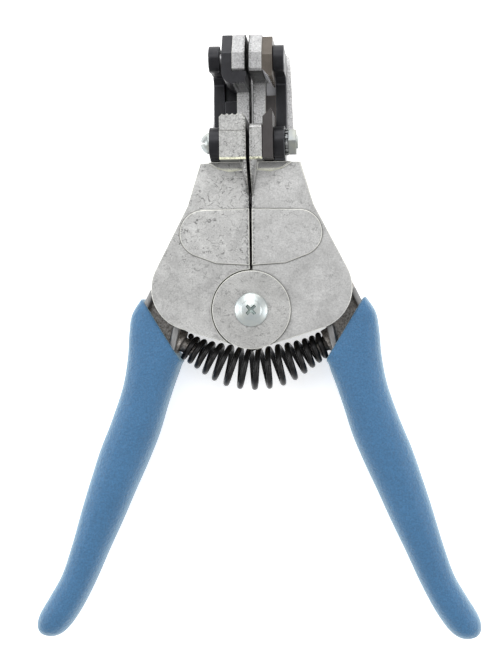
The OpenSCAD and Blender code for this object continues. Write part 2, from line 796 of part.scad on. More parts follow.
// Upper stripping blade, ground on one side down to its edge
module upper_blade() {
    edge_y = nose_bottom - blade_drop;
    color([0.38, 0.31, 0.26]) difference() {
        across(blade_in, blade_out)
            leaf_profile(edge_y, edge_y - edge_slope, head_top - blade_top_drop);
        layer(blade_back - cut, jaw_front + cut)
            polygon([[blade_in - cut, edge_y - 2 * cut], [blade_out - slit_x, edge_y - 2 * cut],
                [blade_out - slit_x, edge_y - edge_slope], [blade_in, edge_y + edge_rise],
                [blade_in - cut, edge_y + edge_rise]]);
        for (i = [0:len(notch_r) - 1])
            rod(edge_y - edge_slope / 2, notch_z(i), notch_r[i], blade_in - cut,
                blade_out + cut);
        rod(jaw_pin_y, jaw_pin_z, jaw_pin_r + slip_gap, blade_in - cut, blade_out + cut);
    }
}

// Upper gripper: a leaf beside the nose, turned in under it as a serrated shelf
module upper_gripper() {
    low = nose_bottom - grip_drop;
    color([0.17, 0.17, 0.19]) mirror([1, 0, 0]) difference() {
        union() {
            across(blade_in, blade_out)
                leaf_profile(low + shelf_round, low + shelf_round, head_top - run_gap);
            layer(blade_back, jaw_front) {
                translate([blade_out - shelf_round, low + shelf_round]) circle(shelf_round);
                polygon([[post_in, low], [blade_out - shelf_round, low],
                    [blade_out - shelf_round, low + shelf_t], [post_in, low + shelf_t]]);
            }
        }
        block([0, low + shelf_t, blade_back - cut],
            [blade_in, low + 2 * shelf_round + cut, jaw_front + cut]);
        for (i = [1:groove_count])
            post(post_in + i * (blade_out - shelf_round) / (groove_count + 1),
                low - groove_r / 2, groove_r, blade_back - cut, jaw_front + cut);
        rod(jaw_pin_y, jaw_pin_z, jaw_pin_r + slip_gap, blade_in - cut, blade_out + cut);
    }
}

// Side bar: eye beside the nose, arm back, and leg down behind the clamp
module side_bar(x0, x1) {
    leg_back = spine_back + flange_t + leg_gap;
    half = 0.88 * bar_eye_r;
    top = jaw_pin_z + 0.45 * bar_eye_r;
    difference() {
        union() {
            rod(jaw_pin_y, jaw_pin_z, bar_eye_r, x0, x1);
            across(x0, x1)
                polygon([[jaw_pin_y + half, top], [jaw_pin_y + half, leg_back + crown_r],
                    [jaw_pin_y + half - crown_r, leg_back], [flange_low, leg_back],
                    [flange_low, leg_front], [jaw_pin_y - half - throat_r, leg_front],
                    [jaw_pin_y - half, leg_front + throat_r], [jaw_pin_y - half, top]]);
        }
        rod(jaw_pin_y, jaw_pin_z, jaw_pin_r + slip_gap, x0 - cut, x1 + cut);
    }
}
module right_side_bar() { color([0.15, 0.15, 0.17]) side_bar(bar_in, bar_out); }
module left_side_bar() {
    color([0.15, 0.15, 0.17]) mirror([1, 0, 0]) side_bar(left_bar_in, left_bar_out);
}

// Stepped distance piece that keeps a side bar's leg off the arm's spine
module spacer(x1, top) {
    back = spine_back + flange_t + leg_gap;
    block([arm_out + run_gap, flange_low, back], [x1 - slip_gap, top, leg_front]);
    block([arm_out + run_gap, flange_low, back], [x1 - slip_gap, nose_bottom, back + leg_d / 2]);
}
module right_jaw_spacer() {
    color([0.3, 0.25, 0.22]) spacer(bar_in, nose_bottom - right_spacer_drop);
}
module left_jaw_spacer() {
    color([0.14, 0.14, 0.16]) mirror([1, 0, 0]) spacer(left_bar_in, nose_bottom - left_spacer_drop);
}

module right_jaw_pin() {
    color([0.4, 0.4, 0.42]) rod(jaw_pin_y, jaw_pin_z, jaw_pin_r, jaw_pin_sink, bar_out);
}
module left_jaw_pin() {
    color([0.4, 0.4, 0.42]) mirror([1, 0, 0])
        rod(jaw_pin_y, jaw_pin_z, jaw_pin_r, jaw_pin_sink, left_bar_out);
}

function row_in(r) = at_handle([r[0], r[1]]);
function row_out(r) = at_handle([r[2], r[3]]);

// Tapered bar of the handle inside its grip
module tang() {
    rows = [for (i = [tang_rows[0]:tang_rows[1]]) grip_shares[i]];
    inner = [for (r = rows) let (c = (row_in(r) + row_out(r)) / 2)
        c + tang_width_share * (row_in(r) - c)];
    outer = [for (r = rows) let (c = (row_in(r) + row_out(r)) / 2)
        c + tang_width_share * (row_out(r) - c)];
    n = len(rows);
    half = tang_depth_share * grip_t * rows[n - 1][4] / 2;
    layer(mid_z - half, mid_z + half)
        polygon(concat(inner, [for (i = [n - 1:-1:0]) outer[i]]));
}

// Ribs that edge the handle's web where it leaves the frame
module neck_rib(shares, toward) {
    edge = [for (p = shares) at_handle(p)];
    n = len(edge);
    layer(mid_z - rib_d / 2, mid_z + rib_d / 2)
        polygon(concat(edge, [for (i = [n - 1:-1:0]) edge[i] + toward * [rib_w, 0]]));
}

// Handle casting: pivot eye and arm, web, two ribs, tang and the seat for the spring
module handle_casting() {
    neck_out = [for (p = neck_out_shares) at_handle(p)];
    neck_in = [for (p = neck_in_shares) at_handle(p)];
    turn = atan2(spring_sag * PI / 2, spring_seat_x);
    n = len(neck_in);
    difference() {
        union() {
            layer(mid_z - web_t / 2, mid_z + web_t / 2) {
                translate([hinge_x, hinge_y]) circle(hinge_eye_r);
                translate([drive_x, drive_y]) circle(shoulder_r);
                polygon(concat([[hinge_x, hinge_y + hinge_eye_r],
                    [drive_x, drive_y + shoulder_r]], neck_out,
                    [for (i = [n - 1:-1:0]) neck_in[i]],
                    [[hinge_x, hinge_y - hinge_eye_r]]));
            }
            neck_rib([for (i = [1:len(neck_out_shares) - 1]) neck_out_shares[i]], -1);
            neck_rib([for (i = [1:n - 1]) neck_in_shares[i]], 1);
            tang();
            translate([spring_seat_x, -spring_seat_y, mid_z]) rotate([0, 0, turn]) {
                rotate([0, 90, 0]) translate([0, 0, seat_back])
                    cylinder(h = seat_flange_t + rib_w, r = seat_flange_r);
                rotate([0, 90, 0]) translate([0, 0, -stud_l])
                    cylinder(h = stud_l + seat_back + cut, r = stud_r);
            }
        }
        post(hinge_x, hinge_y, hinge_r + run_gap, 0, front_z);
        post(drive_x, drive_y, drive_r + slip_gap, 0, front_z);
    }
}
module right_handle() { color([0.5, 0.5, 0.49]) handle_casting(); }
module left_handle() { color([0.5, 0.5, 0.49]) mirror([1, 0, 0]) handle_casting(); }

module drive_pin() {
    post(drive_x, drive_y, drive_r, plate_t + seat_gap, front_z - seat_gap);
}
module right_drive_pin() { color([0.55, 0.55, 0.57]) drive_pin(); }
module left_drive_pin() { color([0.55, 0.55, 0.57]) mirror([1, 0, 0]) drive_pin(); }

// One section of the dipped grip: a rounded rectangle across the handle
function power(x, e) = sign(x) * pow(abs(x), e);
function grip_ring(r) =
    let (c = (row_in(r) + row_out(r)) / 2, h = (row_out(r) - row_in(r)) / 2,
        half = grip_t * r[4] / 2, e = 2 / r[5])
    [for (k = [0:grip_sides - 1]) let (a = k * 360 / grip_sides, u = power(cos(a), e))
        [c[0] + h[0] * u, c[1] + h[1] * u, mid_z + half * power(sin(a), e)]];

module grip_shape() {
    difference() {
        tube([for (r = grip_shares) grip_ring(r)]);
        handle_casting();
    }
}
module right_grip() { color([0.32, 0.5, 0.68]) grip_shape(); }
module left_grip() { color([0.32, 0.5, 0.68]) mirror([1, 0, 0]) grip_shape(); }

right_front_plate();
right_back_plate();
right_plate_screws();
left_front_plate();
left_back_plate();
left_plate_screws();
pivot_screw();
pivot_bush();
pivot_nut();
right_handle_pin();
left_handle_pin();
lower_blade();
lower_blade_clamp();
clamp_stud();
lock_washer();
clamp_nut();
left_clamp();
left_clamp_screw();
halves_spring();
right_jaw_arm();
upper_blade();
right_side_bar();
right_jaw_spacer();
right_jaw_pin();
left_jaw_arm();
upper_gripper();
left_side_bar();
left_jaw_spacer();
left_jaw_pin();
right_handle();
right_grip();
right_drive_pin();
left_handle();
left_grip();
left_drive_pin();
handle_spring();
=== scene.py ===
"""Looks of the automatic wire stripper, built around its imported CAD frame.

The tool lies on its back: +X to the right half, +Y towards the jaws, +Z up at the camera.
"""

import json
import math

import bmesh
import bpy
import numpy as np
from mathutils import Matrix, Vector, noise

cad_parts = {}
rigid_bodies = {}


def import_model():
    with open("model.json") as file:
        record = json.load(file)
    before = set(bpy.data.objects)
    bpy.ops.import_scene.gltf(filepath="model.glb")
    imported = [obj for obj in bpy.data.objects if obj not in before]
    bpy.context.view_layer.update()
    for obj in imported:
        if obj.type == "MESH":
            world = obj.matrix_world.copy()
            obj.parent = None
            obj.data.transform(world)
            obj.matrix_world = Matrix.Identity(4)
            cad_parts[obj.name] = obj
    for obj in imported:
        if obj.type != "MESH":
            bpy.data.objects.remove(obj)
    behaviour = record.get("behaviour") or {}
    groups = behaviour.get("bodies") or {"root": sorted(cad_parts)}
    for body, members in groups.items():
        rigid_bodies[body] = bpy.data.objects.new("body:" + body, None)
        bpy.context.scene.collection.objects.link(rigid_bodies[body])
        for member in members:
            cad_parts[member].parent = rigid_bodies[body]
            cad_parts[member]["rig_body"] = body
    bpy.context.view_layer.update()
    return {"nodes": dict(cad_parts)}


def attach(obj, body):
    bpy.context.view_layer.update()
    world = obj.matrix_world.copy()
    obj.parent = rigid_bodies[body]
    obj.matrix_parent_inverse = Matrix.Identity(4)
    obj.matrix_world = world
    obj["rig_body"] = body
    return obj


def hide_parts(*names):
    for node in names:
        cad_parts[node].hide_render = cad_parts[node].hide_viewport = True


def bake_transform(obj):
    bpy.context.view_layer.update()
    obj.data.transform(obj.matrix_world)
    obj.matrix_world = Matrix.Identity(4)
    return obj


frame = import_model()

# Floor, light and camera
# The photo is a plain product shot: a white ground, large soft lamps over the jaws' end and to
# both sides, and a camera that looks nearly straight down from a little right of the tool.
MM = 0.001
scene = bpy.context.scene
scene.view_settings.view_transform = "Standard"
scene.view_settings.look = "None"


def add(tree, kind, inputs=None, **settings):
    """A node of that kind; an input is either a socket to link from or a plain value."""
    node = tree.nodes.new(kind)
    for key, value in settings.items():
        setattr(node, key, value)
    for key, value in (inputs or {}).items():
        if isinstance(value, bpy.types.NodeSocket):
            tree.links.new(value, node.inputs[key])
        else:
            node.inputs[key].default_value = value
    return node


def new_material(name, **values):
    """A material with its Principled shader, whose even values sit on the shader's own sockets."""
    material = bpy.data.materials.new(name)
    material.use_nodes = True
    shader = material.node_tree.nodes["Principled BSDF"]
    for key, value in values.items():
        shader.inputs[key.replace("_", " ")].default_value = value
    return material, material.node_tree, shader


def object_place(tree):
    """Object coordinates, which are the row frame in metres for every piece."""
    return tree.nodes.new("ShaderNodeTexCoord").outputs["Object"]


def speckle(tree, place, scale, detail=4.0, rough=0.55, distortion=0.0):
    """Noise of that many cells to the metre, as a socket from 0 to 1."""
    return add(tree, "ShaderNodeTexNoise",
               {"Vector": place, "Scale": scale, "Detail": detail, "Roughness": rough,
                "Distortion": distortion}).outputs["Fac"]


def parts_of(tree, place):
    """The X, Y and Z of a place as three sockets."""
    return add(tree, "ShaderNodeSeparateXYZ", {0: place}).outputs


def sums(tree, operation, a, b=0.0, c=0.0):
    """One Math node; a, b and c are sockets or plain values."""
    return add(tree, "ShaderNodeMath", {0: a, 1: b, 2: c}, operation=operation).outputs[0]


def mapped(tree, value, low, high, start=0.0, end=1.0):
    """A value carried in a straight line from low and high to start and end, and held there."""
    return add(tree, "ShaderNodeMapRange", {"Value": value, "From Min": low, "From Max": high,
                                            "To Min": start, "To Max": end}).outputs[0]


def within(tree, value, low, high, soft):
    """1 where the value lies between two levels, falling to 0 over the soft width outside them."""
    return sums(tree, "MULTIPLY", mapped(tree, value, low - soft, low),
                mapped(tree, value, high + soft, high))


def bumped(tree, shader, layers):
    """Stacks bump layers, each a height socket, a strength and a height in millimetres."""
    normal = None
    for height, strength, depth in layers:
        inputs = {"Height": height, "Strength": strength, "Distance": depth * MM}
        if normal is not None:
            inputs["Normal"] = normal
        normal = add(tree, "ShaderNodeBump", inputs).outputs["Normal"]
    tree.links.new(normal, shader.inputs["Normal"])


# The paper glows a little and so stays white, but for a narrow strip under the slit between the
# jaw arms, where it has no glow and is painted somewhat darker: a painted shadow of the arms
PAPER, PAPER_IN_SLIT_SHADOW, GLOW, DAYLIGHT = 0.93, 0.53, 0.55, 0.64
STRIP_HALF, STRIP_FROM, STRIP_TO = 0.9, 46, 74
FLOOR_SIZE, FLOOR_Z = 6, -0.0004
floor_paint, tree, shader = new_material("floor_paper", Roughness=0.9)
shader.inputs["Emission Color"].default_value = (1, 1, 1, 1)
place = object_place(tree)
x, y = parts_of(tree, place)[:2]
shaded = sums(tree, "MULTIPLY", within(tree, x, -STRIP_HALF * MM, STRIP_HALF * MM, 0.8 * MM),
              within(tree, y, STRIP_FROM * MM, STRIP_TO * MM, 5 * MM))
tree.links.new(sums(tree, "MULTIPLY_ADD", shaded, -GLOW, GLOW),
               shader.inputs["Emission Strength"])
tree.links.new(sums(tree, "MULTIPLY_ADD", shaded, PAPER_IN_SLIT_SHADOW - PAPER, PAPER),
               shader.inputs["Base Color"])
bumped(tree, shader, [(speckle(tree, place, 900), 0.05, 0.05)])
bpy.ops.mesh.primitive_plane_add(size=FLOOR_SIZE, location=(0, 0, FLOOR_Z))
floor = bpy.context.object
floor.name = "floor"
floor.data.materials.append(floor_paint)

world = bpy.data.worlds.new("studio")
world.use_nodes = True
world.node_tree.nodes["Background"].inputs["Color"].default_value = (1, 1, 1, 1)
world.node_tree.nodes["Background"].inputs["Strength"].default_value = DAYLIGHT
scene.world = world


def lamp(name, place, aim, size, watts):
    """A square soft box at a place, turned to what it lights."""
    data = bpy.data.lights.new(name, "AREA")
    data.size, data.energy = size, watts
    light = bpy.data.objects.new(name, data)
    light.location = place
    light.rotation_euler = (Vector(aim) - Vector(place)).to_track_quat("-Z", "Y").to_euler()
    scene.collection.objects.link(light)


lamp("low_over_jaws", (-0.05, 0.9, 0.27), (0, 0.03, 0.01), 0.7, 3.5)
lamp("key_top", (-0.12, 0.5, 0.8), (0, 0, 0), 0.5, 2)
lamp("side_left", (-0.8, 0.05, 0.55), (0, 0, 0), 0.5, 2)
lamp("side_right", (0.8, -0.1, 0.6), (0, 0, 0), 0.5, 2)

# The depth lines of the photo meet to the right of the tool, which puts the camera there
eye, target = Vector((0.0283, 0.0005, 0.4236)), Vector((-0.0005, -0.0056, 0.022))
roll = math.radians(0.6)
camera_data = bpy.data.cameras.new("camera")
camera = bpy.data.objects.new("camera", camera_data)
camera_data.sensor_width = 36
camera_data.lens = 73.7
ahead = (target - eye).normalized()
level = ahead.cross(Vector((math.sin(roll), math.cos(roll), 0))).normalized()
camera.matrix_world = Matrix.Translation(eye) @ Matrix(
    (level, level.cross(ahead), -ahead)).transposed().to_4x4()
camera_data.clip_start, camera_data.clip_end = 0.01, 20
scene.collection.objects.link(camera)
scene.camera = camera

# Front castings of the two frame halves
# Pressure-cast zinc left as it comes from the die: soft edges, shallow waves in the flat faces,
# and curling cold-flow lines where the metal met itself. The left half shows more of them.


def dressed(obj, body, materials, stands_for=()):
    """Gives a finished mesh its materials and body, and hides the CAD nodes it stands for."""
    for material in materials:
        obj.data.materials.append(material)
    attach(obj, body)
    if stands_for:
        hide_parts(*stands_for)
    return obj


def body_of(node):
    """The body that a CAD node rides on."""
    return frame["nodes"][node]["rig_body"]


def merged(node):
    """The node's loose triangles as one closed bmesh, with points that touch joined."""
    bm = bmesh.new()
    bm.from_mesh(frame["nodes"][node].data)
    bmesh.ops.remove_doubles(bm, verts=bm.verts, dist=2e-6)
    return bm


def kept_side(bm, level, above):
    """Cuts the closed mesh at a level across the tool, in millimetres, keeps the part above it or
    below it, and closes the cut."""
    bmesh.ops.bisect_plane(bm, geom=bm.verts[:] + bm.edges[:] + bm.faces[:], dist=1e-7,
                           plane_co=(0, level * MM, 0), plane_no=(0, 1, 0),
                           clear_inner=above, clear_outer=not above)
    rim = [e for e in bm.edges if e.is_boundary]
    bmesh.ops.holes_fill(bm, edges=rim)
    bmesh.ops.recalc_face_normals(bm, faces=bm.faces)
    return bm


def linked(name, bm):
    """A new object from a bmesh, which is freed."""
    mesh = bpy.data.meshes.new(name)
    bm.to_mesh(mesh)
    bm.free()
    obj = bpy.data.objects.new(name, mesh)
    scene.collection.objects.link(obj)
    return obj


def baked(obj):
    """Applies the object's modifiers to its mesh."""
    bpy.context.view_layer.update()
    graph = bpy.context.evaluated_depsgraph_get()
    mesh = bpy.data.meshes.new_from_object(obj.evaluated_get(graph),
                                           preserve_all_data_layers=True, depsgraph=graph)
    mesh.name = obj.name
    obj.modifiers.clear()
    obj.data = mesh
    return mesh


def ramp(tree, fac, stops):
    """Colours or greys along a value; stops are (place, grey or colour)."""
    node = add(tree, "ShaderNodeValToRGB", {"Fac": fac})
    elements = node.color_ramp.elements
    while len(elements) < len(stops):
        elements.new(0.5)
    for element, (at, colour) in zip(elements, stops):
        element.position = at
        rgb = (colour,) * 3 if np.isscalar(colour) else colour
        element.color = (*rgb, 1)
    return node.outputs["Color"]


def mixed(tree, fac, a, b, blend="MIX"):
    """Two colours mixed by a value."""
    node = add(tree, "ShaderNodeMix", data_type="RGBA", blend_type=blend)
    for socket, value in ((node.inputs[0], fac), (node.inputs[6], a), (node.inputs[7], b)):
        if isinstance(value, bpy.types.NodeSocket):
            tree.links.new(value, socket)
        else:
            socket.default_value = value if np.isscalar(value) else (*value, 1)
    return node.outputs[2]


def times(tree, a, b):
    """Two colours or places multiplied part by part, also past 1."""
    return add(tree, "ShaderNodeVectorMath", {0: a, 1: b}, operation="MULTIPLY").outputs[0]


def scaled(tree, a, factor):
    """A colour or place multiplied by one factor, also past 1."""
    return add(tree, "ShaderNodeVectorMath", {0: a, "Scale": factor},
               operation="SCALE").outputs[0]


def oxide(name, dark, light, roughness=(0.38, 0.55), metallic=0.55):
    """Oxide finish on steel: two near shades in a fine cloud, and a faint rolled grain."""
    material, tree, shader = new_material(name, Metallic=metallic)
    place = object_place(tree)
    cloud = speckle(tree, place, 260, 5, 0.6)
    grain = speckle(tree, place, 4200, 3, 0.6)
    tree.links.new(ramp(tree, cloud, [(0.3, dark), (0.72, light)]), shader.inputs["Base Color"])
    tree.links.new(ramp(tree, cloud, [(0.3, roughness[0]), (0.7, roughness[1])]),
                   shader.inputs["Roughness"])
    bumped(tree, shader, [(cloud, 0.3, 0.06), (grain, 0.3, 0.015)])
    return material


def shaded_and_worn(tree, base, corner, edge, reach=0.8):
    """Darkens a colour in inner corners with painted shade and lightens it along outer edges,
    partly as wear and partly as a painted highlight, down to and up to the given factors, over a
    reach in millimetres; both come from the piece's own shape."""
    inner = add(tree, "ShaderNodeAmbientOcclusion", {"Distance": reach * MM}, samples=8,
                only_local=True).outputs["AO"]
    outer = add(tree, "ShaderNodeAmbientOcclusion", {"Distance": 0.5 * reach * MM}, samples=8,
                only_local=True, inside=True).outputs["AO"]
    base = mixed(tree, 1.0, base, ramp(tree, inner, [(0.5, corner), (0.92, 1.0)]), "MULTIPLY")
    return times(tree, base, ramp(tree, outer, [(0.45, (edge, edge, 0.94 * edge)), (0.9, 1.0)]))


# Levels of the castings in millimetres: the boss round the main pivot, the foot of the slit above
# it, and the stretch along the lobes where the flow lines thin out; the fronts of the jaw arms'
# rear flange, spine and nose, with the height where the painted light on deeper faces ends; the
# step under the nose, which takes a painted shadow
BOSS_R, SLIT_FOOT, LOBE_FROM, LOBE_TO = 11.85, 12.1, 4, 18
FLANGE_Z, SPINE_Z, DEEP_LIGHT_TO, NOSE_Z = 6.4, 13.5, 24, 32.0
STEP_FROM, STEP_TO = 68.6, 70.3


def zinc(name, dark, light, lines, roughness=(0.36, 0.55), pepper=0.18, cover=0.5, boss=1.0,
         deep_light=1.0, slit_shade_reach=0.47):
    """Cast zinc. A faint grey cloud; cold-flow lines, which are the level lines of a warped noise
    drawn out along X, broken here and there, held to patches that take the given cover, and
    fewer on the lobes; die grain as light and dark grains; small pits; file marks beside the
    slit; a boss with a tone of its own; deeper faces painted lighter, a painted light, with a
    painted shadow on the step under the nose; and painted shade on the walls that face each
    other across the slit."""
    material, tree, shader = new_material(name, Metallic=0.9)
    place = object_place(tree)
    x, y, z = parts_of(tree, place)
    aside = sums(tree, "ABSOLUTE", x)
    warp = add(tree, "ShaderNodeTexNoise", {"Vector": place, "Scale": 300.0, "Detail": 3.0},
               noise_dimensions="3D").outputs["Color"]
    bent = add(tree, "ShaderNodeVectorMath", {0: place, 1: scaled(tree, warp, 6 * MM)},
               operation="ADD").outputs[0]
    flat = times(tree, bent, (0.45, 1.0, 1.0))
    cloud = speckle(tree, place, 110, 6, 0.7, 0.4)
    levels = sums(tree, "FRACT", sums(tree, "MULTIPLY", speckle(tree, flat, 260, 2, 0.45), 8.0))
    line = ramp(tree, levels, [(0.40, 0.0), (0.48, 1.0), (0.52, 1.0), (0.60, 0.0)])
    broken = ramp(tree, speckle(tree, place, 480, 2, 0.5), [(0.38, 0.0), (0.52, 1.0)])
    where = ramp(tree, speckle(tree, place, 105, 3, 0.6, 0.6),
                 [(0.58 - 0.24 * cover, 0.0), (0.78 - 0.24 * cover, 1.0)])
    where = sums(tree, "MULTIPLY", where,
                 mapped(tree, y, LOBE_FROM * MM, LOBE_TO * MM, 0.35, 1.0))
    if boss < 1:
        reach = sums(tree, "SQRT", sums(tree, "MULTIPLY_ADD", x, x, sums(tree, "MULTIPLY", y, y)))
        on_boss = within(tree, reach, -1, BOSS_R * MM, 0.2 * MM)
        where = sums(tree, "MAXIMUM", where, sums(tree, "MULTIPLY", on_boss, 0.8))
    line = sums(tree, "MULTIPLY", sums(tree, "MULTIPLY", line, broken), where)
    grain = speckle(tree, place, 2300, 3, 0.75)
    pits = ramp(tree, speckle(tree, place, 1300, 3, 0.7), [(0.62, 0.0), (0.72, 1.0)])
    patch = speckle(tree, place, 700, 3, 0.6)
    base = ramp(tree, cloud, [(0.32, dark), (0.68, light)])
    fine = ramp(tree, grain, [(0.32, 1 - pepper), (0.5, 1.0), (0.7, 1 + pepper)])
    base = mixed(tree, 1.0, base, fine, "MULTIPLY")
    beside = sums(tree, "MULTIPLY", within(tree, y, (SLIT_FOOT + 0.4) * MM, 1, 0.3 * MM),
                  within(tree, aside, 0.5 * MM, 1.2 * MM, 0.3 * MM))
    filed = ramp(tree, speckle(tree, place, 1900, 2, 0.6), [(0.46, 0.0), (0.58, 1.0)])
    marks = sums(tree, "MAXIMUM", line, sums(tree, "MULTIPLY", pits, 0.7))
    marks = sums(tree, "MAXIMUM", marks, sums(tree, "MULTIPLY", beside, filed))
    shade = ramp(tree, marks, [(0.0, 1.0), (1.0, 1 - lines)])
    base = mixed(tree, 1.0, base, shade, "MULTIPLY")
    if boss < 1:
        base = mixed(tree, on_boss, base,
                     mixed(tree, 1.0, base, (boss, boss, 0.99 * boss), "MULTIPLY"))
    # Painted shade in inner corners; outer edges lighter, partly wear and partly a painted
    # highlight
    base = shaded_and_worn(tree, base, corner=0.48, edge=1.2)
    # Painted light: deeper faces are made lighter, most at the rear flange; a painted shadow on
    # the step under the nose, darkest towards the nose's front
    if deep_light > 1:
        base = scaled(tree, base, mapped(tree, z, FLANGE_Z * MM, DEEP_LIGHT_TO * MM, deep_light, 1.0))
        under = sums(tree, "MULTIPLY", within(tree, y, STEP_FROM * MM, STEP_TO * MM, 0.1 * MM),
                     within(tree, z, (SPINE_Z + 0.2) * MM, (NOSE_Z - 0.9) * MM, 0.3 * MM))
        nose_shadow = mapped(tree, z, SPINE_Z * MM, NOSE_Z * MM, 0.42, 0.10)
        base = mixed(tree, under, base, scaled(tree, base, nose_shadow))
    # Painted shade, near black, on the walls that face each other across the slit
    slit_shade = sums(tree, "MULTIPLY", within(tree, aside, -1, slit_shade_reach * MM, 0.08 * MM),
                within(tree, sums(tree, "ABSOLUTE", y), SLIT_FOOT * MM, 1, 0.2 * MM))
    base = mixed(tree, slit_shade, base, (0.02, 0.02, 0.02))
    tree.links.new(base, shader.inputs["Base Color"])
    tree.links.new(ramp(tree, patch, [(0.3, roughness[0]), (0.75, roughness[1])]),
                   shader.inputs["Roughness"])
    bumped(tree, shader, [(cloud, 0.35, 0.25), (patch, 0.3, 0.05), (marks, -0.6 * lines, 0.12),
                          (grain, 0.35, 0.03)])
    return material


zinc_right = zinc("zinc_casting_right", (0.46, 0.46, 0.455), (0.65, 0.65, 0.645), lines=0.46,
                  cover=0.72, boss=0.96)
zinc_left = zinc("zinc_casting_left", (0.43, 0.43, 0.425), (0.66, 0.66, 0.65), lines=0.6,
                 cover=1.4)
zinc_post = zinc("zinc_post", (0.40, 0.40, 0.395), (0.52, 0.52, 0.51), lines=0.55,
                 roughness=(0.4, 0.55), pepper=0.35, cover=0.8)
FRAME_TOP = 44.1


def tinted(material, low, high, stops):
    """Multiplies a material's colour by a ramp on Z inside a box and its mirror image, low and
    high in millimetres; the stops run over the box's height."""
    tree = material.node_tree
    shader = tree.nodes["Principled BSDF"]
    base = shader.inputs["Base Color"].links[0].from_socket
    x, y, z = parts_of(tree, object_place(tree))
    across, along, up = (within(tree, value, a * MM, b * MM, 0.1 * MM)
                         for value, a, b in zip((sums(tree, "ABSOLUTE", x), y, z), low, high))
    mask = sums(tree, "MULTIPLY", across, sums(tree, "MULTIPLY", along, up))
    shade = times(tree, base, ramp(tree, mapped(tree, z, low[2] * MM, high[2] * MM), stops))
    tree.links.new(mixed(tree, mask, base, shade), shader.inputs["Base Color"])


# Inside each scoop a pale yellow painted highlight at the foot turns into painted shade up the
# slope; the posts' feet have painted shade, with a painted pale yellow highlight line where they
# meet the plate
FOOT_YELLOW_HIGHLIGHT, FADED_YELLOW_HIGHLIGHT = (1.7, 1.7, 1.35), (1.5, 1.5, 1.2)
for material in (zinc_right, zinc_left):
    tinted(material, (2.1, 38.0, 22.12), (13.0, 44.3, 24.5),
           [(0.0, (1.9, 1.9, 1.7)), (0.14, (1.5, 1.5, 1.35)), (0.28, 0.7), (0.6, 0.5),
            (1.0, 0.36)])
tinted(zinc_post, (0.6, 43.0, 22.0), (13.0, 44.25, 31.5), [(0.0, 0.42), (0.9, 0.5), (1.0, 0.9)])
tinted(zinc_post, (0.6, 43.0, 31.5), (13.0, 44.6, 33.0), [(0.0, FOOT_YELLOW_HIGHLIGHT),
                                                          (1.0, FADED_YELLOW_HIGHLIGHT)])


ROUNDED_FROM, SHARP_FROM = math.radians(28), math.radians(50)


def struck(bm, name, width, segments=2, clamp=True, spared=None):
    """A piece with crisp flat faces: the solid's triangles are joined into whole faces, and every
    sharp edge is rounded by the width in millimetres, but for edges with an end that
    spared(x, y), in millimetres, picks out. The rounding takes the second material where the
    edge stands out and the third where it is an inner corner."""
    bmesh.ops.remove_doubles(bm, verts=bm.verts, dist=0.02 * MM)
    bmesh.ops.dissolve_limit(bm, angle_limit=math.radians(1), verts=bm.verts, edges=bm.edges)
    sharp = [e for e in bm.edges if len(e.link_faces) == 2
             and e.calc_face_angle(0) > ROUNDED_FROM]
    if spared:
        sharp = [e for e in sharp if not any(spared(v.co.x / MM, v.co.y / MM) for v in e.verts)]
    for face in bm.faces:
        face.material_index = 0
    bmesh.ops.bevel(bm, geom=sharp, offset=width * MM, offset_type="OFFSET", segments=segments,
                    profile=0.5, affect="EDGES", clamp_overlap=clamp, material=1)
    for face in bm.faces:
        if face.material_index:
            turn = sum(e.calc_face_angle_signed(0) for e in face.edges)
            face.material_index = 1 if turn > 0 else 2
    obj = linked(name, bm)
    obj.data.shade_smooth()
    obj.data.set_sharp_from_angle(angle=SHARP_FROM)
    flats = obj.modifiers.new("flats", "WEIGHTED_NORMAL")
    flats.mode, flats.weight, flats.keep_sharp = "FACE_AREA", 100, True
    baked(obj)
    return obj


# Outer edge roundings: lighter, partly rubbed wear and partly a painted highlight. Inner corner
# roundings: painted shade
rubbed_lit_edge = oxide("zinc_rubbed_lit_edge", (0.68, 0.68, 0.64), (0.84, 0.84, 0.79), (0.4, 0.55),
               metallic=0.8)
corner_shade = oxide("zinc_inner_corner_shade", (0.17, 0.17, 0.165), (0.31, 0.31, 0.30), (0.5, 0.7),
              metallic=0.5)
# In the scoops under the posts the inner corners take a painted pale yellow highlight
tinted(corner_shade, (2.3, 38.0, 21.5), (13.0, 44.0, 23.0), [(0.0, (3.0, 3.0, 2.6)),
                                                      (1.0, (2.6, 2.6, 2.2))])


GUSSET_HALF, GUSSET_FOOT = 0.6, 30.5


def by_gusset(x, y):
    """The gusset's foot beside the slit, too narrow to round."""
    return abs(x) < GUSSET_HALF and y > GUSSET_FOOT


# The post is dressed apart from the plate below it, and its foot is let into the plate's top
POST_LET_IN = 0.15
for side, material in (("right", zinc_right), ("left", zinc_left)):
    node = f"{side}_front_plate"
    plate = kept_side(merged(node), FRAME_TOP - 0.05, above=False)
    plate = struck(plate, f"{side}_front_casting", width=0.22, clamp=False, spared=by_gusset)
    dressed(plate, body_of(node), (material, rubbed_lit_edge, corner_shade), [node])
    post = kept_side(merged(node), FRAME_TOP + 0.02, above=True)
    for vertex in post.verts:
        if vertex.co.y < (FRAME_TOP + 0.1) * MM:
            vertex.co.y -= POST_LET_IN * MM
    dressed(struck(post, f"{side}_post", width=0.3, segments=3), body_of(node),
            (zinc_post, zinc_post, corner_shade))

# Back plates
# Plain stamped plates that close the two halves from behind, each held by two screws. They are
# duller than the front castings, have hardly any lines, and have softly struck edges.
zinc_back = zinc("zinc_back_plate", (0.42, 0.42, 0.415), (0.5, 0.5, 0.49), lines=0.2)
for side in ("right", "left"):
    node = f"{side}_back_plate"
    dressed(struck(merged(node), f"{side}_back_cover", width=0.3), body_of(node),
            (zinc_back, zinc_back, corner_shade), [node])

